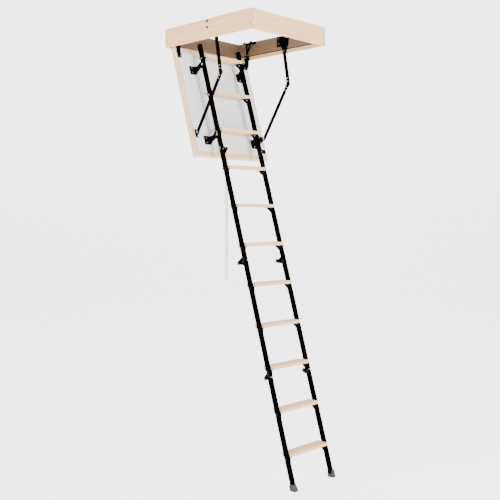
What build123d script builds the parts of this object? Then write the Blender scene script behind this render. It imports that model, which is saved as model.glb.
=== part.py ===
from build123d import *
import math
import os

os.makedirs("parts", exist_ok=True)

# Folding attic ladder, standing open. Millimetres, +Z up.
# Origin: centre of the underside of the wooden frame. +X: across the ladder.
# -Y: the side the climber stands on. The hatch hinges at the +Y end.

# ---- driving dimensions -------------------------------------------------
FRAME_W = 680.0
FRAME_L = 780.0
FRAME_H = 120.0
BOARD_T = 20.0
REBATE_W = 9.0
REBATE_H = 30.0
SEAL_H = 6.0
FINGER_H = 24.0

SLOPE = 73.3            # degrees of the open ladder above the floor
RAIL_TOP_Y = 268.97     # where the rail centre line crosses the frame top
HINGE_Y = 355.0
HINGE_Z = -25.0

PANEL_HALF_W = 326.0
PANEL_S0 = -11.0
PANEL_S1 = 732.0
PANEL_N0 = 12.0
PANEL_N1 = 48.1
OUTER_SHEET_T = 10.0
FACE_SHEET_T = 3.0

RAIL_X0 = 166.0
RAIL_X1 = 186.0
RAIL_HALF_V = 13.0
RAIL_WALL = 2.0
PLATE_T = 3.0
BUTT_GAP = 0.4

PITCH = 255.0
TREAD_U0 = 166.55
TREAD_FRONT = 33.5
TREAD_BACK = 40.0
TREAD_T = 20.0
TREAD_HALF_L = 165.5
TREAD_GROOVES = 6
TREAD_BOLT_DU = 31.0

FOLD_A = (832.0, 29.5)
FOLD_B = (1556.0, -48.0)
FOLD_C = (2272.0, -27.0)
EAR_R = 13.0
EAR_L = 29.0
PLATE_RIVETS = (10.0, 21.0)
PIN_R = 4.0
FLOOR_Z = -2688.0

STAY_TOP = (-62.0, 12.0)        # y, z of the stay pivot on the frame
STAY_ELBOW = (-100.0, -214.0)
STAY_LOW_S = 585.0
STAY_LOW_N = 76.0

SLOPE_RAD = math.radians(SLOPE)
DOWN = (-math.cos(SLOPE_RAD), -math.sin(SLOPE_RAD))
OUT = (-math.sin(SLOPE_RAD), math.cos(SLOPE_RAD))
# the hatch hinge axis, in the rails' own directions
HATCH_U = (HINGE_Y - RAIL_TOP_Y) * DOWN[0] + (HINGE_Z - FRAME_H) * DOWN[1]
HATCH_V = (HINGE_Y - RAIL_TOP_Y) * OUT[0] + (HINGE_Z - FRAME_H) * OUT[1]


# ---- places -------------------------------------------------------------
def on_rail(u, v):
    """y, z of a point u down the rails and v in front of their centre line."""
    y = RAIL_TOP_Y + u * DOWN[0] + v * OUT[0]
    z = FRAME_H + u * DOWN[1] + v * OUT[1]
    return (y, z)


def on_hatch(s, n):
    """y, z of a point s along the panel from its hinge axis and n above it."""
    y = HINGE_Y + s * DOWN[0] + n * OUT[0]
    z = HINGE_Z + s * DOWN[1] + n * OUT[1]
    return (y, z)


def tread_place(k):
    """u, and the y, z of the top face at the rail centre, of tread k."""
    u = TREAD_U0 + PITCH * k
    y, z = on_rail(u, 0)
    return u, y, z


# ---- shapes -------------------------------------------------------------
def prism(points, x0, x1):
    """A y, z outline carried from x0 to x1."""
    low = min(x0, x1)
    high = max(x0, x1)
    corners = [Vector(low, y, z) for y, z in points]
    outline = Face(Wire.make_polygon(corners))
    return extrude(outline, amount=high - low, dir=(1, 0, 0))


def block(x0, x1, y0, y1, z0, z1):
    """A level box between two corners."""
    size = Box(abs(x1 - x0), abs(y1 - y0), abs(z1 - z0))
    return Pos((x0 + x1) / 2, (y0 + y1) / 2, (z0 + z1) / 2) * size


def rail_block(x0, x1, u0, u1, v0, v1):
    """A box lined up with the rails."""
    corners = [on_rail(u0, v0), on_rail(u1, v0), on_rail(u1, v1), on_rail(u0, v1)]
    return prism(corners, x0, x1)


def hatch_block(x0, x1, s0, s1, n0, n1):
    """A box lined up with the hatch panel."""
    corners = [on_hatch(s0, n0), on_hatch(s1, n0), on_hatch(s1, n1), on_hatch(s0, n1)]
    return prism(corners, x0, x1)


def rod_x(place, r, x0, x1):
    """A round bar along X at a y, z place."""
    bar = Rot(0, 90, 0) * Cylinder(r, abs(x1 - x0))
    return Pos((x0 + x1) / 2, place[0], place[1]) * bar


def rod_z(x, y, r, z0, z1):
    """An upright round bar."""
    return Pos(x, y, (z0 + z1) / 2) * Cylinder(r, abs(z1 - z0))


def rod_between(p, q, r):
    """A round bar from point p to point q."""
    start = Vector(*p)
    way = Vector(*q) - start
    plane = Plane(origin=start, z_dir=way)
    return extrude(plane * Circle(r), amount=way.length)


def rod_out(x, s, n0, n1, r):
    """A round bar square to the panel face."""
    y0, z0 = on_hatch(s, n0)
    y1, z1 = on_hatch(s, n1)
    return rod_between((x, y0, z0), (x, y1, z1), r)


def bar_between(p, q, half, x0, x1):
    """A flat bar with round ends between two y, z places."""
    dy = q[0] - p[0]
    dz = q[1] - p[1]
    length = math.hypot(dy, dz)
    ny = -dz / length * half
    nz = dy / length * half
    sides = [
        (p[0] + ny, p[1] + nz),
        (q[0] + ny, q[1] + nz),
        (q[0] - ny, q[1] - nz),
        (p[0] - ny, p[1] - nz),
    ]
    return prism(sides, x0, x1) + rod_x(p, half, x0, x1) + rod_x(q, half, x0, x1)


def both(maker):
    """The same piece on the left and on the right, as two solids."""
    return list(maker(-1)) + list(maker(1))


def save(name, solids):
    """Write one node; several solids stay separate."""
    if isinstance(solids, list):
        flat = []
        for item in solids:
            flat.extend(item.solids())
        shape = Compound(children=flat) if len(flat) > 1 else flat[0]
    else:
        flat = solids.solids()
        shape = Compound(children=list(flat)) if len(flat) > 1 else flat[0]
    shape.label = name
    export_step(shape, "parts/" + name + ".step")


# ---- frame --------------------------------------------------------------
BOARD_X0 = FRAME_W / 2 - BOARD_T
BOARD_X1 = FRAME_W / 2
BOARD_Y0 = FRAME_L / 2 - BOARD_T
BOARD_Y1 = FRAME_L / 2
JOIST_HOLES = [(-330.0, 45.0), (-330.0, 95.0), (330.0, 45.0), (330.0, 95.0)]
STAY_BOLTS = [(-11.0, 68.0), (-11.0, 105.0)]


def corner_fingers(side, end, level):
    """The finger cubes of one corner: level 0 belongs to the side board."""
    cubes = []
    for i in range(int(FRAME_H / FINGER_H)):
        if i % 2 == level:
            z0 = i * FINGER_H
            cubes.append(block(side * BOARD_X0, side * BOARD_X1,
                               end * BOARD_Y0, end * BOARD_Y1, z0, z0 + FINGER_H))
    return cubes


def side_board(side):
    """A long board of the frame, with its rebate, fingers and holes."""
    board = block(side * BOARD_X0, side * BOARD_X1, -BOARD_Y0, BOARD_Y0, 0, FRAME_H)
    for end in (-1, 1):
        for cube in corner_fingers(side, end, 0):
            board += cube
    step = block(side * (BOARD_X0 - 1), side * (BOARD_X0 + REBATE_W),
                 -BOARD_Y0 - REBATE_W, BOARD_Y0, -1, REBATE_H)
    board -= step
    for y, z in JOIST_HOLES:
        board -= rod_x((y, z), 3.0, side * (BOARD_X0 - 1), side * (BOARD_X1 + 1))
    for y, z in STAY_BOLTS:
        board -= rod_x((y, z), 4.2, side * (BOARD_X0 - 1), side * (BOARD_X1 + 1))
    return board


def end_board(end):
    """A short board of the frame; only the front one is rebated."""
    board = block(-BOARD_X0, BOARD_X0, end * BOARD_Y0, end * BOARD_Y1, 0, FRAME_H)
    for side in (-1, 1):
        for cube in corner_fingers(side, end, 1):
            board += cube
    if end < 0:
        half = BOARD_X0 + REBATE_W
        board -= block(-half, half, -BOARD_Y0 - REBATE_W, -BOARD_Y0 + 1, -1, REBATE_H)
        board -= block(-12, 12, -BOARD_Y0 - 16, -BOARD_Y0, -1, 12)
    return board


save("frame_board_left", side_board(-1))
save("frame_board_right", side_board(1))
save("frame_board_front", end_board(-1))
save("frame_board_back", end_board(1))


def seal():
    """The soft strip in the corner of the rebate, on three sides."""
    outer = block(-328.5, 328.5, -378.5, 360, REBATE_H - SEAL_H, REBATE_H)
    inner = block(-321.5, 321.5, -371.5, 361, REBATE_H - SEAL_H - 1, REBATE_H + 1)
    return outer - inner


save("frame_seal", seal())

# ---- hatch hinges -------------------------------------------------------
HINGE_X = 200.0
HINGE_HALF_W = 25.0
KNUCKLE_R = 6.0
HINGE_PIN_R = 3.0
FIXED_KNUCKLE = 10.0
MOVING_KNUCKLE = 10.3
AXIS = (HINGE_Y, HINGE_Z)


def fixed_leaf(side):
    """The cranked leaf screwed under the back board."""
    x = side * HINGE_X
    wide = HINGE_HALF_W
    low = HINGE_Z - KNUCKLE_R
    leaf = block(x - wide, x + wide, BOARD_Y0, BOARD_Y1 - 2, -3, 0)
    leaf += block(x - wide, x + wide, BOARD_Y0, BOARD_Y0 + 3, low, 0)
    leaf += block(x - wide, x + wide, HINGE_Y + 6.6, BOARD_Y0 + 3, low, low + 3)
    leaf += block(x - FIXED_KNUCKLE, x + FIXED_KNUCKLE, HINGE_Y, BOARD_Y0, low, low + 3)
    leaf += rod_x(AXIS, KNUCKLE_R, x - FIXED_KNUCKLE, x + FIXED_KNUCKLE)
    leaf -= rod_x(AXIS, HINGE_PIN_R, x - 40, x + 40)
    for dx in (-15, 15):
        leaf -= rod_z(x + dx, BOARD_Y0 + 11, 2.2, -4, 1)
    return [leaf]


def hinge_pin(side):
    """The pin of one hatch hinge."""
    x = side * HINGE_X
    pin = rod_x(AXIS, HINGE_PIN_R, x - 26, x + 26)
    pin += rod_x(AXIS, 5.0, x - 28, x - 26)
    pin += rod_x(AXIS, 5.0, x + 26, x + 28)
    return [pin]


def moving_leaf(side):
    """The leaf screwed to the outer face of the panel."""
    x = side * HINGE_X
    wide = HINGE_HALF_W
    leaf = hatch_block(x - wide, x + wide, 9, 70, 9, PANEL_N0)
    parts = leaf
    for sign in (-1, 1):
        x0 = x + sign * MOVING_KNUCKLE
        x1 = x + sign * wide
        web = [on_hatch(-3, 4), on_hatch(2, 4), on_hatch(10, 9), on_hatch(10, 12), on_hatch(2, 11)]
        parts += prism(web, x0, x1)
        parts += rod_x(AXIS, KNUCKLE_R, x0, x1)
    parts -= rod_x(AXIS, HINGE_PIN_R + 0.05, x - 40, x + 40)
    for s in (30, 55):
        parts -= rod_out(x - 12, s, 8, 13, 2.2)
        parts -= rod_out(x + 12, s, 8, 13, 2.2)
    return [parts]


save("hatch_hinge_fixed_leaves", both(fixed_leaf))
save("hatch_hinge_pins", both(hinge_pin))
save("hatch_hinge_moving_leaves", both(moving_leaf))

# ---- stays, frame side --------------------------------------------------
STAY_PLATE_X = 317.0
UPPER_ARM_X = (311.0, 315.0)
LOWER_ARM_X = (305.0, 309.0)


def stay_plate(side):
    """The plate bolted inside the side board, with a tab for the stay pivot."""
    outline = [
        (-96, 118), (8, 118), (8, 48), (-30, 48), (-50, 12), (-50, 2),
        (-74, 2), (-76, 12), (-96, 60),
    ]
    plate = prism(outline, side * STAY_PLATE_X, side * BOARD_X0)
    plate -= rod_x(STAY_TOP, 4.0, side * 310, side * 330)
    for place in STAY_BOLTS:
        plate -= rod_x(place, 4.0, side * 310, side * 330)
    return [plate]


def frame_fixings(side):
    """Stay plate bolts, the stay pivot rivet and the hinge leaf screws."""
    made = []
    for place in STAY_BOLTS:
        bolt = rod_x(place, 4.0, side * 313, side * BOARD_X1)
        bolt += rod_x(place, 8.5, side * BOARD_X1, side * (BOARD_X1 + 3.5))
        bolt += rod_x(place, 6.5, side * 312.5, side * STAY_PLATE_X)
        made.append(bolt)
    rivet = rod_x(STAY_TOP, 4.0, side * 308, side * BOARD_X0)
    rivet += rod_x(STAY_TOP, 8.0, side * 308, side * 310.7)
    rivet += rod_x(STAY_TOP, 8.0, side * 315.3, side * STAY_PLATE_X)
    made.append(rivet)
    for dx in (-15, 15):
        x = side * HINGE_X + dx
        screw = rod_z(x, BOARD_Y0 + 11, 4.0, -5.5, -3)
        screw += rod_z(x, BOARD_Y0 + 11, 2.2, -3, 0)
        made.append(screw)
    return made


save("stay_plates", both(stay_plate))
save("frame_fixings", both(frame_fixings))

# ---- counterbalance springs ---------------------------------------------
SPRING_KNOBS = [(285.0, 112.0), (222.0, 112.0)]
SPRING_HOOK = (277.0, 20.0)
SPRING_X = [306.0, 292.5]
SPRING_R = 6.2
HOOK_END_X = 284.0
LEVER_X = (314.0, 317.0)


def spring_bracket(side):
    """The bar on the inside of the side board with its two spring knobs."""
    bracket = block(side * 314, side * BOARD_X0, 205, 298, 102, 120)
    for place in SPRING_KNOBS:
        bracket += rod_x(place, 4.5, side * HOOK_END_X, side * 314)
        bracket += rod_x(place, 8.0, side * (HOOK_END_X - 3), side * HOOK_END_X)
    return [bracket]


def springs(side):
    """Two pull springs from the knobs to the lever hook, drawn as sleeves."""
    made = []
    for place, x in zip(SPRING_KNOBS, SPRING_X):
        dy = SPRING_HOOK[0] - place[0]
        dz = SPRING_HOOK[1] - place[1]
        length = math.hypot(dy, dz)
        a = 8.0 / length
        b = 1.0 - 8.0 / length
        p = (side * x, place[0] + a * dy, place[1] + a * dz)
        q = (side * x, place[0] + b * dy, place[1] + b * dz)
        made.append(rod_between(p, q, SPRING_R))
    return made


save("spring_brackets", both(spring_bracket))
save("springs", both(springs))


def lever(side):
    """The lever on the panel that the springs pull on."""
    corners = [(-24, 44), (-13, 40), (-12, 48.1), (62, 48.1), (62, 56), (45, 74), (-12, 94), (-27, 90)]
    outline = [on_hatch(s, n) for s, n in corners]
    plate = prism(outline, side * LEVER_X[0], side * LEVER_X[1])
    foot = hatch_block(side * 286, side * LEVER_X[0], 12, 62, PANEL_N1, PANEL_N1 + 3)
    hook = rod_x(SPRING_HOOK, 3.0, side * HOOK_END_X, side * LEVER_X[0])
    hook += rod_x(SPRING_HOOK, 5.5, side * (HOOK_END_X - 2), side * HOOK_END_X)
    disc = rod_x(on_hatch(44.8, 63), 7.0, side * 309, side * LEVER_X[0])
    plate = plate + foot + hook + disc
    for s in (22, 52):
        plate -= rod_out(side * 296, s, PANEL_N1 - 1, PANEL_N1 + 4, 2.2)
    return [plate]


save("spring_levers", both(lever))

# ---- hatch panel --------------------------------------------------------
RIM_W = 36.0
BRACKET_U = [240.0, 725.0]
SHEET_X = 308.0
SHEET_S0 = 19.0
SHEET_S1 = 699.0
CORE_N0 = PANEL_N0 + OUTER_SHEET_T
CORE_N1 = PANEL_N1 - FACE_SHEET_T
TONGUE = (-10.0, 10.0, 688.0, 737.0, 26.0, 34.0)


def panel_rim():
    """The wooden frame of the panel, with a recess for the face sheet."""
    wide = PANEL_HALF_W
    rim = hatch_block(-wide, wide, PANEL_S0, PANEL_S1, CORE_N0, PANEL_N1)
    rim -= hatch_block(-wide + RIM_W, wide - RIM_W, PANEL_S0 + 48, PANEL_S1 - 52, CORE_N0 - 1, PANEL_N1 + 1)
    rim -= hatch_block(-SHEET_X, SHEET_X, SHEET_S0, SHEET_S1, CORE_N1, PANEL_N1 + 1)
    x0, x1, s0, s1, n0, n1 = TONGUE
    rim -= hatch_block(x0 - 0.3, x1 + 0.3, s0 - 10, s1 + 1, n0 - 0.3, n1 + 0.3)
    return rim


def panel_core():
    """The filling inside the rim."""
    wide = PANEL_HALF_W - RIM_W
    core = hatch_block(-wide, wide, PANEL_S0 + 48, PANEL_S1 - 52, CORE_N0, CORE_N1)
    x0, x1, s0, s1, n0, n1 = TONGUE
    core -= hatch_block(x0 - 3, x1 + 3, s0 - 10, s1, n0 - 3, n1 + 3)
    return core


save("panel_rim", panel_rim())
save("panel_core", panel_core())
outer_sheet = hatch_block(-PANEL_HALF_W, PANEL_HALF_W, PANEL_S0, PANEL_S1, PANEL_N0, CORE_N0)
save("panel_outer_sheet", outer_sheet)
save("panel_face_sheet", hatch_block(-SHEET_X, SHEET_X, SHEET_S0, SHEET_S1, CORE_N1, PANEL_N1))


def strip(side):
    """A batten on the panel face behind one rail, cut away for the brackets."""
    batten = hatch_block(side * 160, side * 196, 24, 694, PANEL_N1, PANEL_N1 + 6)
    for u in BRACKET_U:
        s = u - HATCH_U
        batten -= hatch_block(side * 185.5, side * 200, s - 15, s + 45, PANEL_N1 - 1, PANEL_N1 + 7)
    return [batten]


save("panel_strips", both(strip))

# ---- stay feet on the panel ---------------------------------------------
STAY_LOW = on_hatch(STAY_LOW_S, STAY_LOW_N)


def stay_foot(side):
    """The angle foot on the panel that carries the lower end of a stay."""
    foot = hatch_block(side * 282, side * 304, 558, 612, PANEL_N1, PANEL_N1 + 3)
    corners = [(564, PANEL_N1), (606, PANEL_N1), (596, STAY_LOW_N), (574, STAY_LOW_N)]
    foot += prism([on_hatch(s, n) for s, n in corners], side * 300, side * 304)
    foot += rod_x(STAY_LOW, 11.0, side * 300, side * 304)
    foot -= rod_x(STAY_LOW, 4.0, side * 299, side * 305)
    for s in (566, 604):
        foot -= rod_out(side * 290, s, PANEL_N1 - 1, PANEL_N1 + 4, 2.2)
    return [foot]


save("stay_feet", both(stay_foot))


# ---- stays --------------------------------------------------------------
def upper_arm(side):
    """The upper stay link, with its half of the elbow rivet."""
    arm = bar_between(STAY_TOP, STAY_ELBOW, 13.5, side * UPPER_ARM_X[0], side * UPPER_ARM_X[1])
    arm -= rod_x(STAY_TOP, 4.05, side * 300, side * 330)
    arm += rod_x(STAY_ELBOW, 8.0, side * UPPER_ARM_X[1], side * (UPPER_ARM_X[1] + 2))
    arm += rod_x(STAY_ELBOW, 8.0, side * 310.1, side * UPPER_ARM_X[0])
    return arm


def lower_arm(side):
    """The lower stay link, with its half of the elbow rivet."""
    arm = bar_between(STAY_LOW, STAY_ELBOW, 12.5, side * LOWER_ARM_X[0], side * LOWER_ARM_X[1])
    arm -= rod_x(STAY_LOW, 4.05, side * 300, side * 330)
    arm += rod_x(STAY_ELBOW, 8.0, side * (LOWER_ARM_X[0] - 2), side * LOWER_ARM_X[0])
    arm += rod_x(STAY_ELBOW, 8.0, side * LOWER_ARM_X[1], side * 309.9)
    return arm


save("stay_upper_left", upper_arm(-1))
save("stay_upper_right", upper_arm(1))
save("stay_lower_left", lower_arm(-1))
save("stay_lower_right", lower_arm(1))

# ---- rail brackets on the panel -----------------------------------------
BRACKET_FACE_V = PANEL_N1 + HATCH_V
HORN = [(-25, 10), (25, 10), (20, -22), (28, -52), (44, BRACKET_FACE_V), (-14, BRACKET_FACE_V),
        (-8, -50), (-20, -22)]


def rail_brackets(side):
    """The horn shaped feet that hold a top rail off the panel."""
    made = []
    for u in BRACKET_U:
        outline = [on_rail(u + du, v) for du, v in HORN]
        foot = prism(outline, side * RAIL_X1, side * (RAIL_X1 + PLATE_T))
        v1 = BRACKET_FACE_V + PLATE_T
        foot += rail_block(side * RAIL_X1, side * 237, u - 14, u + 44, BRACKET_FACE_V, v1)
        foot -= rod_x(on_rail(u, 0), 3.0, side * (RAIL_X1 - 1), side * (RAIL_X1 + 4))
        for k in (0, 1, 2):
            head = on_rail(TREAD_U0 + PITCH * k + TREAD_BOLT_DU, 0)
            foot -= rod_x(head, 5.4, side * (RAIL_X1 - 1), side * (RAIL_X1 + 4))
        for du in (0, 30):
            y0, z0 = on_rail(u + du, BRACKET_FACE_V - 1)
            y1, z1 = on_rail(u + du, BRACKET_FACE_V + 4)
            x = side * 218
            foot -= rod_between((x, y0, z0), (x, y1, z1), 2.2)
        made.append(foot)
    return made


save("rail_brackets", both(rail_brackets))

# ---- ladder sections ----------------------------------------------------
SECTIONS = [
    # number, u of the top, u of the bottom, treads, pin above, pin below
    (1, 99.5, FOLD_A[0] - BUTT_GAP, (0, 1, 2), None, FOLD_A),
    (2, FOLD_A[0] + BUTT_GAP, FOLD_B[0] - BUTT_GAP, (3, 4, 5), FOLD_A, FOLD_B),
    (3, FOLD_B[0] + BUTT_GAP, FOLD_C[0] - BUTT_GAP, (6, 7, 8), FOLD_B, FOLD_C),
    (4, FOLD_C[0] + BUTT_GAP, 2915.0, (9, 10), FOLD_C, None),
]


def rail(side, number, u0, u1, treads, above, below):
    """One steel rail tube of a section, drilled for its rivets."""
    tube = rail_block(side * RAIL_X0, side * RAIL_X1, u0, u1, -RAIL_HALF_V, RAIL_HALF_V)
    wall = RAIL_WALL
    tube -= rail_block(side * (RAIL_X0 + wall), side * (RAIL_X1 - wall),
                       u0 - 1, u1 + 1, -RAIL_HALF_V + wall, RAIL_HALF_V - wall)
    for v in (-1, 1):
        tube -= rail_block(side * 173, side * 179, u0 - 1, u1 + 1, v * 12.2, v * 14)
    for k in treads:
        u = TREAD_U0 + PITCH * k + TREAD_BOLT_DU
        tube -= rod_x(on_rail(u, 0), 3.0, side * (RAIL_X0 - 1), side * (RAIL_X1 + 1))
    if number == 1:
        for u in BRACKET_U:
            tube -= rod_x(on_rail(u, 0), 3.0, side * (RAIL_X1 - 3), side * (RAIL_X1 + 1))
    if below:
        for du in PLATE_RIVETS:
            place = on_rail(below[0] - du, 0)
            tube -= rod_x(place, 2.5, side * (RAIL_X1 - 3), side * (RAIL_X1 + 1))
    if above:
        for du in PLATE_RIVETS:
            place = on_rail(above[0] + du, 0)
            tube -= rod_x(place, 2.5, side * (RAIL_X0 - 1), side * (RAIL_X0 + 3))
    return tube


def tread(k):
    """One wooden tread, with anti-slip grooves."""
    u, y, z = tread_place(k)
    y0 = y - TREAD_FRONT
    y1 = y + TREAD_BACK
    board = block(-TREAD_HALF_L, TREAD_HALF_L, y0, y1, z - TREAD_T, z)
    board = fillet(board.edges().filter_by(Axis.X), 3.0)
    pitch = (TREAD_FRONT + TREAD_BACK) / (TREAD_GROOVES + 1)
    for i in range(TREAD_GROOVES):
        yc = y0 + pitch * (i + 1)
        board -= block(-TREAD_HALF_L - 1, TREAD_HALF_L + 1, yc - 1.2, yc + 1.2, z - 1.5, z + 1)
    for side in (-1, 1):
        board -= rod_z(side * 154, y + 5, 2.0, z - TREAD_T - 1, z - TREAD_T + 13)
    return board


def tread_bracket(side, k):
    """The gusset under one end of a tread."""
    u, y, z = tread_place(k)
    top = z - TREAD_T
    outline = [
        (y - 25, top), (y + 37, top), on_rail(u + 53, -11), on_rail(u + 60, 0), on_rail(u + 55, 11),
    ]
    gusset = prism(outline, side * (RAIL_X0 - PLATE_T), side * RAIL_X0)
    gusset += block(side * 147, side * RAIL_X0, y - 25, y + 37, top - 2.5, top)
    gusset -= rod_x(on_rail(u + TREAD_BOLT_DU, 0), 3.0, side * 160, side * 170)
    gusset -= rod_z(side * 154, y + 5, 2.0, top - 4, top + 1)
    return gusset


def fold_plate(side, pin, way):
    """A fold hinge plate: way -1 is the upper section's, +1 the lower one's."""
    u, v = pin
    e = 1 if v > 0 else -1
    a = abs(v)
    corners = [
        (way * EAR_L, -e * 11), (way * EAR_L, e * 6), (way * 12.7, e * (a + 2)),
        (0, e * a), (way * BUTT_GAP, e * 14), (way * BUTT_GAP, -e * 11),
    ]
    outline = [on_rail(u + du, dv) for du, dv in corners]
    if way < 0:
        x0 = side * RAIL_X1
        x1 = side * (RAIL_X1 + PLATE_T)
        hole = PIN_R
    else:
        x0 = side * (RAIL_X0 - PLATE_T)
        x1 = side * RAIL_X0
        hole = PIN_R + 0.05
    place = on_rail(u, v)
    plate = prism(outline, x0, x1) + rod_x(place, EAR_R, x0, x1)
    plate -= rod_x(place, hole, side * 150, side * 200)
    for du in PLATE_RIVETS:
        plate -= rod_x(on_rail(u + way * du, 0), 2.5, side * 150, side * 200)
    return plate


def tread_fixings(side, k):
    """The through rivet and the wood screw of one tread end."""
    u, y, z = tread_place(k)
    place = on_rail(u + TREAD_BOLT_DU, 0)
    rivet = rod_x(place, 3.0, side * 163, side * RAIL_X1)
    rivet += rod_x(place, 5.0, side * 160.2, side * 163)
    rivet += rod_x(place, 5.0, side * RAIL_X1, side * 188.3)
    top = z - TREAD_T
    screw = rod_z(side * 154, y + 5, 2.0, top - 2.5, top + 13)
    screw += rod_z(side * 154, y + 5, 4.0, top - 4.5, top - 2.5)
    return [rivet, screw]


def fold_fixings(side, above, below):
    """The fold pin under a section and the rivets of its hinge plates."""
    made = []
    if below:
        place = on_rail(*below)
        pin = rod_x(place, PIN_R, side * 160.2, side * 191.5)
        pin += rod_x(place, 7.0, side * 160.2, side * 162.7)
        pin += rod_x(place, 7.0, side * 189, side * 191.5)
        made.append(pin)
        for du in PLATE_RIVETS:
            place = on_rail(below[0] - du, 0)
            rivet = rod_x(place, 2.5, side * 184, side * 189)
            rivet += rod_x(place, 4.5, side * 189, side * 190.5)
            made.append(rivet)
    if above:
        for du in PLATE_RIVETS:
            place = on_rail(above[0] + du, 0)
            rivet = rod_x(place, 2.5, side * 163, side * 168)
            rivet += rod_x(place, 4.5, side * 161.5, side * 163)
            made.append(rivet)
    return made


def hatch_fixings(side):
    """Screws and rivets on the panel: rail brackets, levers, feet, hinges."""
    made = []
    for u in BRACKET_U:
        place = on_rail(u, 0)
        bolt = rod_x(place, 3.0, side * 184, side * 189)
        bolt += rod_x(place, 7.0, side * 189, side * 193)
        made.append(bolt)
        for du in (0, 30):
            s = u + du - HATCH_U
            screw = rod_out(side * 218, s, PANEL_N1, PANEL_N1 + 3, 2.2)
            screw += rod_out(side * 218, s, PANEL_N1 + 3, PANEL_N1 + 5.5, 4.5)
            made.append(screw)
    for x, s in ((296, 22), (296, 52), (290, 566), (290, 604)):
        screw = rod_out(side * x, s, PANEL_N1, PANEL_N1 + 3, 2.2)
        screw += rod_out(side * x, s, PANEL_N1 + 3, PANEL_N1 + 5.5, 4.5)
        made.append(screw)
    for dx in (-12, 12):
        for s in (30, 55):
            x = side * HINGE_X + dx
            screw = rod_out(x, s, 9, PANEL_N0, 2.2)
            screw += rod_out(x, s, 6.5, 9, 4.5)
            made.append(screw)
    rivet = rod_x(STAY_LOW, 4.0, side * 297.5, side * 309.3)
    rivet += rod_x(STAY_LOW, 8.0, side * 309.3, side * 311.5)
    rivet += rod_x(STAY_LOW, 8.0, side * 297.5, side * 300)
    made.append(rivet)
    return made


for number, u0, u1, treads, above, below in SECTIONS:
    for side, word in ((-1, "left"), (1, "right")):
        name = "rail_" + str(number) + "_" + word
        save(name, rail(side, number, u0, u1, treads, above, below))
    for k in treads:
        save("tread_" + str(k + 1).zfill(2), tread(k))
    brackets = [tread_bracket(side, k) for k in treads for side in (-1, 1)]
    save("tread_brackets_" + str(number), brackets)
    plates = []
    fixings = []
    for side in (-1, 1):
        if below:
            plates.append(fold_plate(side, below, -1))
        if above:
            plates.append(fold_plate(side, above, 1))
        for k in treads:
            fixings.extend(tread_fixings(side, k))
        fixings.extend(fold_fixings(side, above, below))
        if number == 1:
            fixings.extend(hatch_fixings(side))
    save("fold_plates_" + str(number), plates)
    save("fixings_" + str(number), fixings)


def foot(side):
    """The rubber boot on the bottom of a rail, cut level with the floor."""
    half = 18.0
    back = (FRAME_H - half * OUT[1] - FLOOR_Z) / -DOWN[1]
    front = (FRAME_H + half * OUT[1] - FLOOR_Z) / -DOWN[1]
    outline = [on_rail(2895, -half), on_rail(2895, half), on_rail(front, half), on_rail(back, -half)]
    boot = prism(outline, side * 161, side * 191)
    boot -= rail_block(side * 160, side * RAIL_X0, 2890, 2912, -half - 1, half + 1)
    boot -= rail_block(side * RAIL_X0, side * RAIL_X1, 2890, 2915, -RAIL_HALF_V, RAIL_HALF_V)
    return boot


save("foot_left", foot(-1))
save("foot_right", foot(1))

# ---- lock, latch and opening pole ---------------------------------------
EYE_S = 701.0
EYE_N = -16.0
EYE = on_hatch(EYE_S, EYE_N)
POLE_LENGTH = 808.0
POLE_R = 9.0


def lock_body():
    """The lock on the outer face of the panel, with its pull eye."""
    body = hatch_block(-24, 24, 676, 726, 4, PANEL_N0)
    corners = [(690, 4), (712, 4), (709, EYE_N), (693, EYE_N)]
    body += prism([on_hatch(s, n) for s, n in corners], -2.5, 2.5)
    body += rod_x(EYE, 9.0, -2.5, 2.5)
    body -= rod_x(EYE, 5.2, -5, 5)
    return body


def latch_tongue():
    """The sprung tongue that slides out of the free end of the panel."""
    x0, x1, s0, s1, n0, n1 = TONGUE
    corners = [(s0, n0), (s1 - 5, n0), (s1, n0 + 5), (s1, n1), (s0, n1)]
    return prism([on_hatch(s, n) for s, n in corners], x0, x1)


def opening_pole():
    """The pull pole hanging from the eye of the lock."""
    y, z = EYE
    top = z - 12
    pole = rod_z(0, y, POLE_R, z - POLE_LENGTH, top - 4)
    pole += block(-6, 6, y - 6, y + 6, top - 8, top)
    for side in (-1, 1):
        cheek = block(side * 3, side * 6, y - 6, y + 6, top - 2, z)
        cheek += rod_x(EYE, 6.0, side * 3, side * 6)
        pole += cheek
    pole += rod_x(EYE, 4.5, -6, 6)
    pole += rod_z(0, y, POLE_R + 1.2, z - POLE_LENGTH - 6, z - POLE_LENGTH + 24)
    return pole


save("lock_body", lock_body())
save("latch_tongue", latch_tongue())
save("opening_pole", opening_pole())
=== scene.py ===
import math

import bpy
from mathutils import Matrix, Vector


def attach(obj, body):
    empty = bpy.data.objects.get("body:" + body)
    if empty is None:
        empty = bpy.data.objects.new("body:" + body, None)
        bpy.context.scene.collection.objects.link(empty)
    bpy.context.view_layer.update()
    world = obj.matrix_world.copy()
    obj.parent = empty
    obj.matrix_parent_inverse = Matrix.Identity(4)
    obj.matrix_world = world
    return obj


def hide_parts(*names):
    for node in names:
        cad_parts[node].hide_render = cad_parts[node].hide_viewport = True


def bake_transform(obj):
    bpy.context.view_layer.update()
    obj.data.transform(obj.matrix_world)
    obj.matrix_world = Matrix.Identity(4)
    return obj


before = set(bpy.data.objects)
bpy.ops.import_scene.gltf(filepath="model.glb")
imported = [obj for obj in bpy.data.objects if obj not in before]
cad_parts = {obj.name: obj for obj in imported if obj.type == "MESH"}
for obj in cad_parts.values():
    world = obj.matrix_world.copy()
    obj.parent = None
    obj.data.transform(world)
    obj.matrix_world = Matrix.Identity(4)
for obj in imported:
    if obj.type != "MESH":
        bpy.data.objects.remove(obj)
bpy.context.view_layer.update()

# The slope of the open panel and rails, the hatch hinge (y, z), and the unit
# directions (y, z) down the panel and out of its inner face.
SLOPE = math.radians(73.3)
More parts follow.
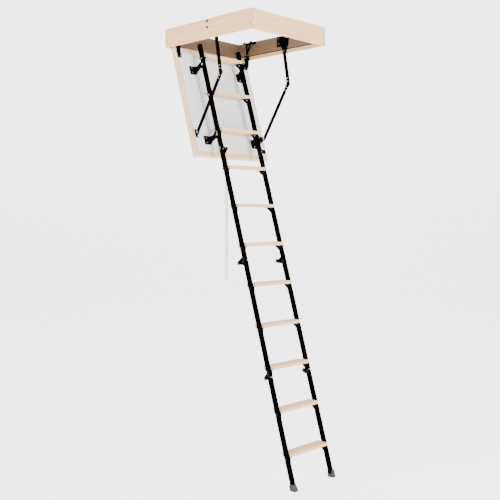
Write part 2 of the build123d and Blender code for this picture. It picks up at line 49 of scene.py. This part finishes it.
AXIS = (0.355, -0.025)
DOWN = (-math.cos(SLOPE), -math.sin(SLOPE))
OUT = (-math.sin(SLOPE), math.cos(SLOPE))
FLOOR_Z = -2.688
CAMERA_YAW = math.radians(-45.91)


def on_hatch(x, s, n):
    """A point s down the panel from its hinge and n above it."""
    y = AXIS[0] + s * DOWN[0] + n * OUT[0]
    z = AXIS[1] + s * DOWN[1] + n * OUT[1]
    return Vector((x, y, z))


# ---- shader maths -------------------------------------------------------
class Value:
    """A node socket that can be added, multiplied and compared."""

    def __init__(self, shader, socket):
        self.shader = shader
        self.socket = socket

    def _math(self, kind, other, swap=False):
        first, second = (other, self) if swap else (self, other)
        return self.shader.node(
            "ShaderNodeMath", {"operation": kind}, {0: first, 1: second}
        )

    def __add__(self, other):
        return self._math("ADD", other)

    __radd__ = __add__

    def __sub__(self, other):
        return self._math("SUBTRACT", other)

    def __rsub__(self, other):
        return self._math("SUBTRACT", other, True)

    def __mul__(self, other):
        return self._math("MULTIPLY", other)

    __rmul__ = __mul__

    def above(self, other):
        return self._math("GREATER_THAN", other)

    def power(self, other):
        return self._math("POWER", other)

    def size(self):
        return self._math("ABSOLUTE", 0.0)

    def sine(self):
        return self._math("SINE", 0.0)

    def ramp(self, low, high):
        """0 at low, 1 at high, smooth between."""
        settings = {"interpolation_type": "SMOOTHSTEP"}
        inputs = {0: self, 1: low, 2: high}
        return self.shader.node("ShaderNodeMapRange", settings, inputs)


class Shader:
    """One material and its nodes."""

    def __init__(self, name):
        self.material = bpy.data.materials.new(name)
        self.material.use_nodes = True
        self.tree = self.material.node_tree
        self.surface = self.tree.nodes["Principled BSDF"]

    def node(self, kind, settings=None, inputs=None, out=0):
        """A node with its settings and inputs; out names the output returned."""
        made = self.tree.nodes.new(kind)
        for key, value in (settings or {}).items():
            setattr(made, key, value)
        for key, value in (inputs or {}).items():
            self.put(made.inputs[key], value)
        if isinstance(out, tuple):
            return [Value(self, made.outputs[name]) for name in out]
        return Value(self, made.outputs[out])

    def put(self, socket, value):
        if isinstance(value, Value):
            self.tree.links.new(value.socket, socket)
        else:
            socket.default_value = value

    def set(self, **inputs):
        for key, value in inputs.items():
            self.put(self.surface.inputs[key.replace("_", " ")], value)
        return self.material

    def place(self):
        """The point on the piece, in its own frame, as a vector."""
        return self.node("ShaderNodeTexCoord", out="Object")

    def facing(self):
        """The surface normal in the same frame."""
        return self.node("ShaderNodeTexCoord", out="Normal")

    def split(self, vector):
        return self.node("ShaderNodeSeparateXYZ", {}, {0: vector}, (0, 1, 2))

    def join(self, x, y, z):
        return self.node("ShaderNodeCombineXYZ", {}, {0: x, 1: y, 2: z})

    def noise(self, vector, scale, detail=2.0, rough=0.5, warp=0.0):
        inputs = {
            "Vector": vector, "Scale": scale, "Detail": detail,
            "Roughness": rough, "Distortion": warp,
        }
        return self.node("ShaderNodeTexNoise", {}, inputs)

    def mix(self, amount, low, high):
        """A colour between low and high."""
        inputs = {0: amount, 6: low, 7: high}
        return self.node("ShaderNodeMix", {"data_type": "RGBA"}, inputs, 2)

    def bump(self, height, strength, distance):
        inputs = {"Height": height, "Strength": strength, "Distance": distance}
        return self.node("ShaderNodeBump", {}, inputs)


def rgb(r, g, b):
    return (r, g, b, 1.0)


def shade(tint, red, green, blue):
    """The tint with each channel scaled."""
    return rgb(tint[0] * red, tint[1] * green, tint[2] * blue)


# ---- materials ----------------------------------------------------------
PINE_LIGHT = rgb(0.88, 0.55, 0.27)
PINE_MID = rgb(0.66, 0.35, 0.14)
PINE_DARK = rgb(0.50, 0.28, 0.12)
KNOT = rgb(0.24, 0.12, 0.05)
# Painted shade: the shadow inside the frame, laid on its inner faces as a dark colour,
# not a different wood.
PAINTED_INNER_SHADE = rgb(0.13, 0.07, 0.035)
GRAIN_STRETCH = 0.06  # how little the grain changes along a board
SEAM_N = 0.022  # the seam of the rim, above the panel's hinge line
RIM_SIDE_X = 0.290  # the side pieces of the rim lie further out than this
FRAME_INSIDE = {"y": 0.3204, "x": 0.3704}  # inner faces of side and end boards
FINE_BUMP = 0.0006


def along(shader, place, axis, seed):
    """The point with the grain direction shrunk, so that noise runs with it."""
    x, y, z = place
    if axis == "x":
        return shader.join(x * GRAIN_STRETCH + seed, y, z)
    if axis == "y":
        return shader.join(x, y * GRAIN_STRETCH + seed, z)
    s = y * DOWN[0] + z * DOWN[1]
    n = y * OUT[0] + z * OUT[1]
    return shader.join(x, s * GRAIN_STRETCH + seed, n)


def pine(name, axis, seed, tone=0.0, shade_inside=None):
    """Planed pine along x or y: thin darker lines, a few knots, end grain.

    With an inner face given, faces closer to the middle than that are darkened with
    painted shade, the shadow that falls inside the frame.
    """
    m = Shader(name)
    place = m.split(m.place())
    grain = along(m, place, axis, seed)
    wide = m.noise(grain, 14.0, 3.0, 0.55, 0.4)
    lines = ((wide * 95.0).sine() * 0.5 + 0.5).power(2.5)
    fibre = m.noise(grain, 420.0, 2.0, 0.6)
    patch = m.noise(m.place(), 3.0 + seed, 2.0, 0.5)
    colour = m.mix(lines * 0.55, PINE_LIGHT, PINE_MID)
    colour = m.mix((fibre - 0.45) * 0.55, colour, PINE_DARK)
    colour = m.mix(patch.ramp(0.35, 0.75) * 0.25 + tone, colour, PINE_MID)
    inputs = {"Vector": grain, "Scale": 7.0, "Randomness": 1.0}
    knots = m.node("ShaderNodeTexVoronoi", {"feature": "F1"}, inputs)
    knot = 1.0 - knots.ramp(0.03, 0.085)
    colour = m.mix(knot * 0.85, colour, KNOT)
    lengthwise = "xy".index(axis)
    end_grain = m.split(m.facing())[lengthwise].size().above(0.8)
    rings = m.noise(m.place(), 60.0, 2.0, 0.5, 0.6)
    rings = (rings * 60.0).sine() * 0.5 + 0.5
    cut = m.mix(rings * 0.6, rgb(0.62, 0.45, 0.28), rgb(0.42, 0.27, 0.15))
    colour = m.mix(end_grain, colour, cut)
    # Painted shade on the faces inside the frame, standing in for the shadow there.
    if shade_inside:
        in_shade = 1.0 - place[1 - lengthwise].size().above(shade_inside)
        colour = m.mix(in_shade * 0.90, colour, PAINTED_INNER_SHADE)
    relief = m.bump(fibre * 0.6 + lines * 0.4, 0.22, FINE_BUMP)
    return m.set(Base_Color=colour, Roughness=fibre * 0.15 + 0.5, Normal=relief)


def rim_pine():
    """Pine for the rim of the panel: side pieces run down, end pieces across."""
    m = Shader("rim_pine")
    place = m.split(m.place())
    down = m.noise(along(m, place, "s", 3.0), 16.0, 3.0, 0.55, 0.4)
    across = m.noise(along(m, place, "x", 5.0), 16.0, 3.0, 0.55, 0.4)
    side = place[0].size().above(RIM_SIDE_X)
    wide = down * side + across * (1.0 - side)
    lines = ((wide * 90.0).sine() * 0.5 + 0.5).power(2.0)
    fibre = m.noise(along(m, place, "s", 8.0), 380.0, 2.0, 0.6)
    colour = m.mix(lines * 0.55, rgb(0.84, 0.62, 0.36), rgb(0.66, 0.42, 0.21))
    colour = m.mix((fibre - 0.45) * 0.5, colour, PINE_DARK)
    level = (place[1] - AXIS[0]) * OUT[0] + (place[2] - AXIS[1]) * OUT[1]
    seam = 1.0 - (level - SEAM_N).size().ramp(0.0006, 0.0018)
    colour = m.mix(seam * 0.8, colour, rgb(0.10, 0.06, 0.03))
    relief = m.bump(fibre * 0.6 + lines * 0.4, 0.2, FINE_BUMP)
    return m.set(Base_Color=colour, Roughness=0.55, Normal=relief)


def black_paint(name, base, rough):
    """Black powder coat: fine orange peel, no gloss."""
    m = Shader(name)
    peel = m.noise(m.place(), 900.0, 2.0, 0.5)
    patch = m.noise(m.place(), 9.0, 3.0, 0.6)
    tint = (base, base, base)
    colour = m.mix(patch.ramp(0.4, 0.8) * 0.5, rgb(*tint), shade(tint, 2, 2, 2))
    m.set(Base_Color=colour, Roughness=patch * 0.14 + (rough - 0.07))
    return m.set(Specular_IOR_Level=0.0, Normal=m.bump(peel, 0.12, 0.0003))


def metal(name, tint, rough):
    """Plated or dark steel with faint blotches."""
    m = Shader(name)
    patch = m.noise(m.place(), 160.0, 3.0, 0.6)
    colour = m.mix(patch.ramp(0.3, 0.7), rgb(*tint), shade(tint, 0.82, 0.8, 0.76))
    dull = patch * 0.2 + (rough - 0.1)
    return m.set(Base_Color=colour, Metallic=1.0, Roughness=dull)


def pinned_metal(name, pins):
    """Zinc rivets, except the fold pins, which are black with a bright middle."""
    m = Shader(name)
    place = m.split(m.place())
    patch = m.noise(m.place(), 160.0, 3.0, 0.6)
    blotch = patch.ramp(0.3, 0.7)
    steel = m.mix(blotch, rgb(0.55, 0.54, 0.52), rgb(0.42, 0.41, 0.39))
    dark = 0.0
    for y, z in pins:
        gap = ((place[1] - y).power(2.0) + (place[2] - z).power(2.0)).power(0.5)
        head = 1.0 - gap.ramp(0.0076, 0.0082)
        dark = head * gap.ramp(0.0022, 0.0028) + dark
    colour = m.mix(dark, steel, rgb(0.003, 0.003, 0.003))
    dull = patch * 0.2 + 0.3
    return m.set(Base_Color=colour, Metallic=1.0 - dark, Roughness=dull)


def outer_board(name):
    """The outer sheet: white on its face, bare wood on its edges."""
    m = Shader(name)
    place = m.split(m.place())
    facing = m.split(m.facing())
    face = (facing[1] * OUT[0] + facing[2] * OUT[1]).size().above(0.7)
    fibre = m.noise(along(m, place, "s", 2.0), 300.0, 2.0, 0.6)
    wood = m.mix(fibre, rgb(0.84, 0.63, 0.38), rgb(0.60, 0.39, 0.20))
    cloud = m.noise(m.place(), 4.0, 3.0, 0.5)
    cloud = cloud.ramp(0.3, 0.8)
    white = m.mix(cloud, rgb(0.66, 0.66, 0.65), rgb(0.58, 0.58, 0.58))
    return m.set(Base_Color=m.mix(face, wood, white), Roughness=0.5)


# Where the two dark lines painted along each batten lie, by distance from the middle.
BATTEN_DARK_LINES = (0.168, 0.188)


def batten_metal(name):
    """Pale batten with two dark lines along it."""
    m = Shader(name)
    place = m.split(m.place())
    across = place[0].size()
    first, second = [
        1.0 - (across - line_x).size().ramp(0.0008, 0.0022) for line_x in BATTEN_DARK_LINES
    ]
    cloud = m.noise(m.place(), 12.0, 3.0, 0.5).ramp(0.3, 0.8)
    pale = m.mix(cloud, rgb(0.72, 0.72, 0.73), rgb(0.60, 0.60, 0.62))
    colour = m.mix((first + second) * 0.75, pale, rgb(0.10, 0.10, 0.11))
    return m.set(Base_Color=colour, Roughness=0.4)


def board(name, tint):
    """White faced fibre board, with a faint cloudiness."""
    m = Shader(name)
    cloud = m.noise(m.place(), 4.0, 3.0, 0.5)
    pores = m.noise(m.place(), 700.0, 2.0, 0.6)
    colour = m.mix(cloud.ramp(0.3, 0.8), rgb(*tint), shade(tint, 0.93, 0.93, 0.94))
    m.set(Base_Color=colour, Roughness=cloud * 0.1 + 0.42)
    return m.set(Normal=m.bump(pores, 0.06, 0.0003))


def plain(name, tint, rough, grain=300.0, strength=0.2):
    """A plain dull surface with a fine texture: rubber, foam, filling."""
    m = Shader(name)
    texture = m.noise(m.place(), grain, 3.0, 0.6)
    colour = m.mix(texture.ramp(0.3, 0.7), rgb(*tint), shade(tint, 0.8, 0.8, 0.8))
    relief = m.bump(texture, strength, 0.0004)
    return m.set(Base_Color=colour, Roughness=rough, Normal=relief)


BLACK = black_paint("black_powder_coat", 0.0010, 0.5)
BLACK_SATIN = black_paint("black_stays", 0.0014, 0.42)
ZINC = metal("zinc", (0.62, 0.61, 0.58), 0.34)
STEEL = metal("bright_steel", (0.75, 0.74, 0.72), 0.28)
RUBBER = plain("rubber", (0.012, 0.012, 0.012), 0.62)
RAIL_TOP = (0.26897, 0.120)


def on_rail(u, v):
    """y, z of a point u down the rails and v in front of them."""
    y = RAIL_TOP[0] + u * DOWN[0] + v * OUT[0]
    z = RAIL_TOP[1] + u * DOWN[1] + v * OUT[1]
    return (y, z)


FOLD_PINS = (on_rail(0.832, 0.0295), on_rail(1.556, -0.048), on_rail(2.272, -0.027))
DARK_PINS = metal("dark_pins", (0.035, 0.034, 0.033), 0.5)
LOOKS = {
    "frame_seal": plain("seal_foam", (0.015, 0.015, 0.016), 0.8, 500.0, 0.4),
    "panel_rim": rim_pine(),
    "panel_core": plain("filling", (0.45, 0.34, 0.22), 0.8),
    "panel_face_sheet": board("white_face", (0.80, 0.80, 0.79)),
    "panel_outer_sheet": outer_board("white_outer"),
    "panel_strips": batten_metal("strip_metal"),
    "foot_left": RUBBER,
    "foot_right": RUBBER,
    "opening_pole": plain("pole_paint", (0.78, 0.74, 0.64), 0.45, 80.0, 0.08),
    "latch_tongue": STEEL,
    "lock_body": ZINC,
    "hatch_hinge_fixed_leaves": ZINC,
    "hatch_hinge_moving_leaves": ZINC,
    "hatch_hinge_pins": STEEL,
    "frame_fixings": metal("dark_bolts", (0.16, 0.15, 0.14), 0.42),
    "fixings_1": pinned_metal("rivets", FOLD_PINS),
    "fixings_2": DARK_PINS,
    "fixings_3": DARK_PINS,
    "fixings_4": DARK_PINS,
}
FRAME_BOARDS = (
    ("left", "y", 1.3), ("right", "y", 4.1), ("front", "x", 2.2), ("back", "x", 6.4),
)
# The frame boards get painted shade on their inner faces.
for word, axis, seed in FRAME_BOARDS:
    wood = pine("board_" + word, axis, seed, shade_inside=FRAME_INSIDE[axis])
    LOOKS["frame_board_" + word] = wood

TREAD_TONES = (0.10, 0.25, 0.16, 0.28, 0.14, 0.10, 0.22, 0.12, 0.30, 0.20, 0.55)
for number, tone in enumerate(TREAD_TONES, 1):
    wood = pine("tread_pine_" + str(number), "x", number * 1.7, tone)
    LOOKS["tread_" + str(number).zfill(2)] = wood


def look_for(name):
    """The finish of a part; what the table leaves out is painted steel."""
    if name in LOOKS:
        return LOOKS[name]
    if name.startswith("stay_"):
        return BLACK_SATIN
    return BLACK


for name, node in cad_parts.items():
    node.data.materials.clear()
    node.data.materials.append(look_for(name))


# ---- pieces made here ---------------------------------------------------
def mesh_object(name, points, faces, material, smooth=True):
    """A new mesh piece with one material."""
    mesh = bpy.data.meshes.new(name)
    mesh.from_pydata([tuple(p) for p in points], [], faces)
    mesh.validate()
    mesh.polygons.foreach_set("use_smooth", [smooth] * len(mesh.polygons))
    mesh.materials.append(material)
    made = bpy.data.objects.new(name, mesh)
    bpy.context.scene.collection.objects.link(made)
    return made


def tube(path, radius, sides=8):
    """Points and faces of a closed tube along a path."""
    points = []
    faces = []
    count = len(path)
    normal = None
    for i, here in enumerate(path):
        way = (path[min(i + 1, count - 1)] - path[max(i - 1, 0)]).normalized()
        if normal is None:
            normal = way.orthogonal().normalized()
        normal = (normal - way * normal.dot(way)).normalized()
        other = way.cross(normal)
        for k in range(sides):
            a = 2 * math.pi * k / sides
            spoke = normal * math.cos(a) * radius + other * math.sin(a) * radius
            points.append(here + spoke)
    for i in range(count - 1):
        for k in range(sides):
            a = i * sides + k
            b = i * sides + (k + 1) % sides
            faces.append((a, b, b + sides, a + sides))
    faces.append(tuple(range(sides))[::-1])
    faces.append(tuple(range((count - 1) * sides, count * sides)))
    return points, faces


# The springs: knobs on the side board and hook on the panel lever (y, z), the
# x of the two springs of a side, and the coil's own sizes.
KNOBS = ((0.285, 0.112), (0.222, 0.112))
HOOK = (0.277, 0.020)
SPRING_X = (0.306, 0.2925)
COIL_R = 0.0052
WIRE_R = 0.00125
COIL_PITCH = 0.0026
COIL_START = 0.011  # from a knob or hook to the first turn
END_LOOPS = 0.026  # the length that the loops take up
KNOB_LOOP_R = 0.0052
HOOK_LOOP_R = 0.0042
LOOP_STEPS = 12
TURN_STEPS = 12


def coil_spring(side, index):
    """A pull spring: a loop round the knob, a close coil, a loop round the hook."""
    x = side * SPRING_X[index]
    top = Vector((x, KNOBS[index][0], KNOBS[index][1]))
    end = Vector((x, HOOK[0], HOOK[1]))
    way = (end - top).normalized()
    across = Vector((side, 0, 0))
    third = way.cross(across)
    length = (end - top).length
    path = []
    for i in range(LOOP_STEPS + 1):
        a = math.radians(-60 + 300 * i / LOOP_STEPS)
        turn = third * math.sin(a) - way * math.cos(a)
        path.append(top + turn * KNOB_LOOP_R)
    turns = int((length - END_LOOPS) / COIL_PITCH)
    steps = turns * TURN_STEPS
    for i in range(steps + 1):
        t = i / steps
        a = 2 * math.pi * turns * t
        centre = top + way * (COIL_START + (length - 2 * COIL_START) * t)
        path.append(centre + (across * math.cos(a) + third * math.sin(a)) * COIL_R)
    for i in range(LOOP_STEPS + 1):
        a = math.radians(120 - 300 * i / LOOP_STEPS)
        turn = third * math.sin(a) - way * math.cos(math.radians(60) + a)
        path.append(end + turn * HOOK_LOOP_R)
    points, faces = tube(path, WIRE_R, 6)
    label = "coil_" + ("left_" if side < 0 else "right_") + str(index + 1)
    spring = mesh_object(label, points, faces, BLACK_SATIN)
    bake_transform(spring)
    return spring


springs = [coil_spring(side, index) for side in (-1, 1) for index in (0, 1)]
for spring in springs:
    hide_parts("springs")

# The pivots of a stay (y, z), and the rivets near its elbow.
STAY_TOP = (-0.062, 0.012)
STAY_ELBOW = (-0.100, -0.214)
STAY_LOW = tuple(on_hatch(0, 0.585, 0.076))[1:]
RIVET_R = 0.0042
RIVET_FROM_ELBOW = (0.022, 0.042)
RIVET_PROUD = (0.0011, 0.0008)  # the tip and the edge of a rivet head


def stay_rivets(side, part, start, arm_x):
    """Bright rivets near the elbow, on both faces of one stay link."""
    word = "left" if side < 0 else "right"
    way = Vector((0, start[0] - STAY_ELBOW[0], start[1] - STAY_ELBOW[1])).normalized()
    tip, edge = RIVET_PROUD
    for number, distance in enumerate(RIVET_FROM_ELBOW):
        centre = Vector((0, STAY_ELBOW[0], STAY_ELBOW[1])) + way * distance
        path = []
        for x in (arm_x[0] - tip, arm_x[0] - edge, arm_x[1] + edge, arm_x[1] + tip):
            path.append(Vector((side * x, centre[1], centre[2])))
        points, faces = tube(path, RIVET_R, 16)
        label = "stay_rivet_" + part + "_" + word + "_" + str(number + 1)
        made = mesh_object(label, points, faces, STEEL, smooth=False)
        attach(made, "stay_" + part + "_" + word)


for side in (-1, 1):
    stay_rivets(side, "upper", STAY_TOP, (0.311, 0.315))
    stay_rivets(side, "lower", STAY_LOW, (0.305, 0.309))

# ---- stage --------------------------------------------------------------
floor_shader = Shader("studio_floor")
cloud = floor_shader.noise(floor_shader.place(), 1.2, 2.0, 0.5)
pale = floor_shader.mix(cloud, rgb(0.86, 0.86, 0.86), rgb(0.88, 0.88, 0.88))
floor_shader.set(Base_Color=pale, Roughness=0.8, Specular_IOR_Level=0.1)
floor_shader.set(Emission_Color=rgb(1.0, 1.0, 1.0), Emission_Strength=2.3)


FLOOR_NEAR = -9.0
FLOOR_FAR = 4.0
WALL_CURVE = 3.0
WALL_HEIGHT = 14.0
HALF_WIDTH = 14.0
CURVE_STEPS = 12


def backdrop():
    """A floor that curves up into a wall behind the ladder."""
    ahead = Vector((-math.sin(CAMERA_YAW), math.cos(CAMERA_YAW), 0))
    right = Vector((math.cos(CAMERA_YAW), math.sin(CAMERA_YAW), 0))
    profile = [(FLOOR_NEAR, 0.0), (FLOOR_FAR, 0.0)]
    for i in range(1, CURVE_STEPS + 1):
        a = math.radians(90 * i / CURVE_STEPS)
        back = FLOOR_FAR + WALL_CURVE * math.sin(a)
        profile.append((back, WALL_CURVE - WALL_CURVE * math.cos(a)))
    profile.append((FLOOR_FAR + WALL_CURVE, WALL_HEIGHT))
    points = []
    for back, height in profile:
        up = Vector((0, 0, FLOOR_Z + height))
        for across in (-HALF_WIDTH, HALF_WIDTH):
            points.append(ahead * back + right * across + up)
    strips = range(0, 2 * len(profile) - 2, 2)
    faces = [(i, i + 1, i + 3, i + 2) for i in strips]
    return mesh_object("backdrop", points, faces, floor_shader.material)


backdrop()

world = bpy.data.worlds.new("studio")
world.use_nodes = True
background = world.node_tree.nodes["Background"]
background.inputs["Color"].default_value = rgb(1.0, 1.0, 1.0)
background.inputs["Strength"].default_value = 0.78
bpy.context.scene.world = world


def softbox(name, place, target, size, power):
    """A soft rectangular light at a place, turned to a target."""
    light = bpy.data.lights.new(name, "AREA")
    light.shape = "RECTANGLE"
    light.size = size[0]
    light.size_y = size[1]
    light.energy = power
    made = bpy.data.objects.new(name, light)
    made.location = place
    way = Vector(target) - Vector(place)
    made.rotation_mode = "QUATERNION"
    made.rotation_quaternion = way.to_track_quat("-Z", "Y")
    bpy.context.scene.collection.objects.link(made)
    return made


UPPER = (0, 0, -0.4)
LOWER = (0, 0, -1.4)
softbox("key_light", (-4.6, -1.0, -0.1), UPPER, (1.6, 0.9), 240)
softbox("front_light", (0.8, -5.2, -0.1), UPPER, (1.6, 0.9), 330)
softbox("fill_light", (-3.2, -4.6, -1.8), LOWER, (2.4, 1.4), 60)

# ---- camera -------------------------------------------------------------
camera_data = bpy.data.cameras.new("camera")
camera_data.sensor_width = 36.0
camera_data.lens = 56.30
camera_data.shift_y = -0.0677
camera = bpy.data.objects.new("camera", camera_data)
camera.location = (-3.6095, -3.5435, -1.0940)
camera.rotation_euler = (math.radians(90), 0, CAMERA_YAW)
bpy.context.scene.collection.objects.link(camera)
bpy.context.scene.camera = camera
